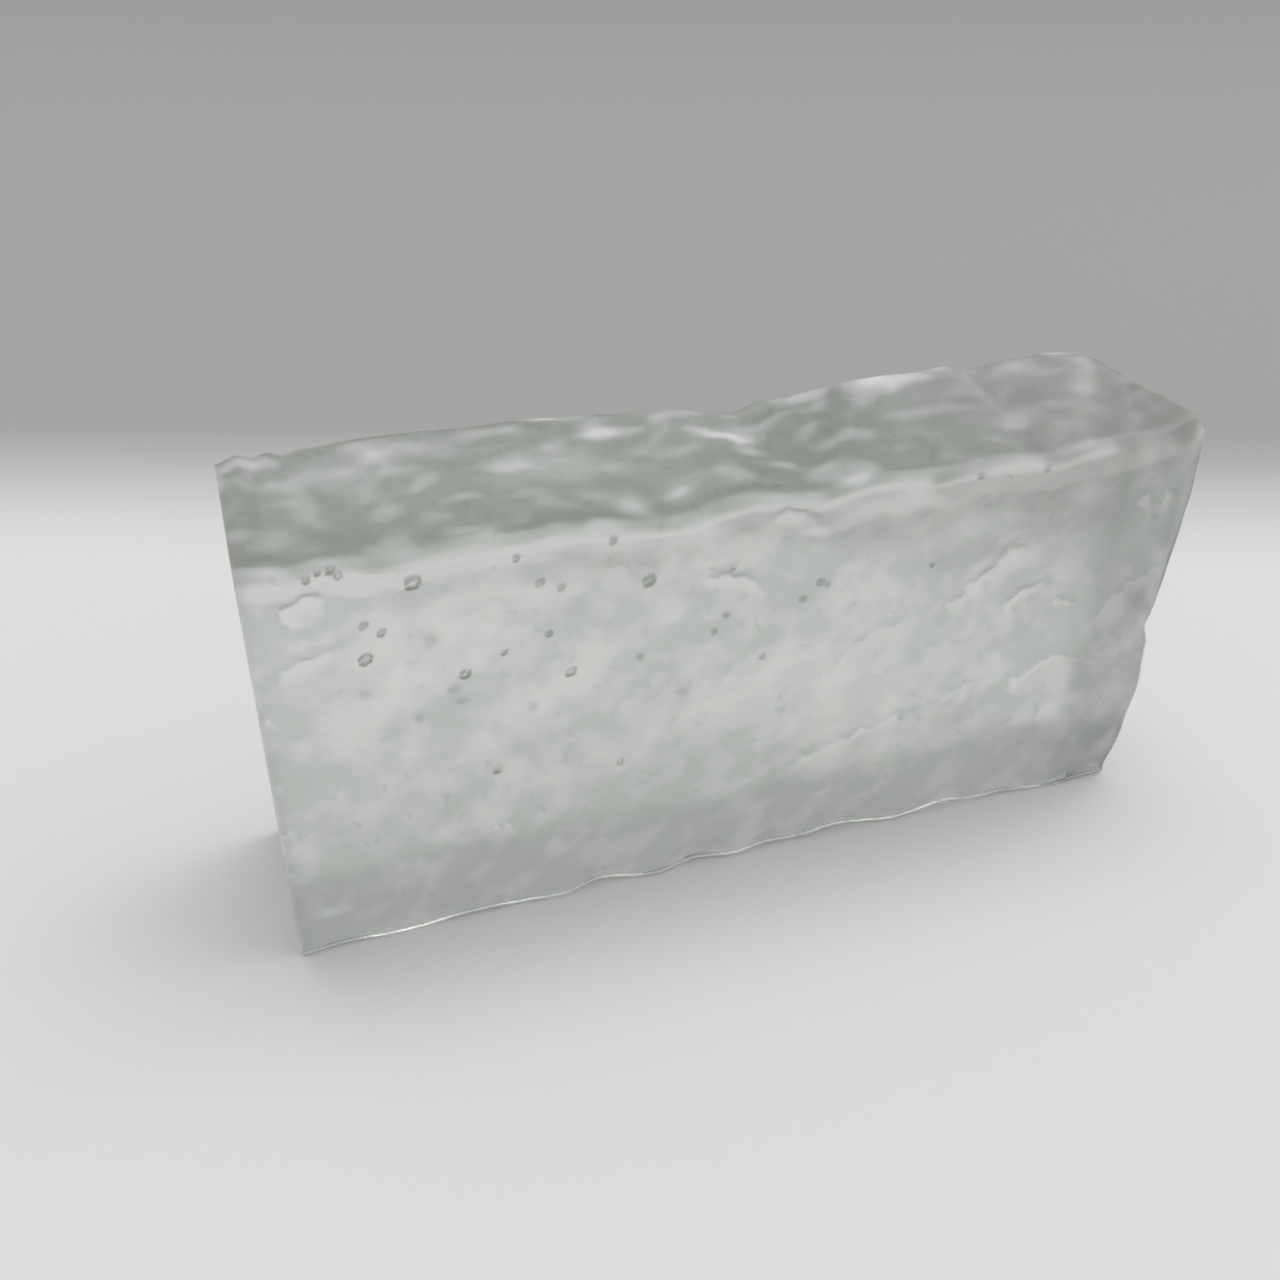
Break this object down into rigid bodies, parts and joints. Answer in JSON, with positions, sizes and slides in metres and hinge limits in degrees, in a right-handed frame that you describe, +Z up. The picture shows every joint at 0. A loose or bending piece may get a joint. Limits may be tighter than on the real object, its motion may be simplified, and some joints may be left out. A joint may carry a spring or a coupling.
{
  "type": "solid glass block",
  "caption": "Solid cast glass brick with rippled faces, rounded cast edges, one sawn flat end and a ground flat underside, for see-through masonry.",
  "frame": {"origin": "centre of the ground underside, on the surface that the block stands on", "axes": "+X along the length from the sawn end to the cast end, +Y from the front face to the back face, +Z up"},
  "size_m": [0.2396, 0.0527, 0.1146],
  "materials": {
    "cast_glass": "clear cast soda-lime glass with a faint grey-green tint, rippled and glossy, with seed bubbles inside"
  },
  "bodies": {
    "root": {"glass_block": "cast_glass"}
  },
  "joints": []
}
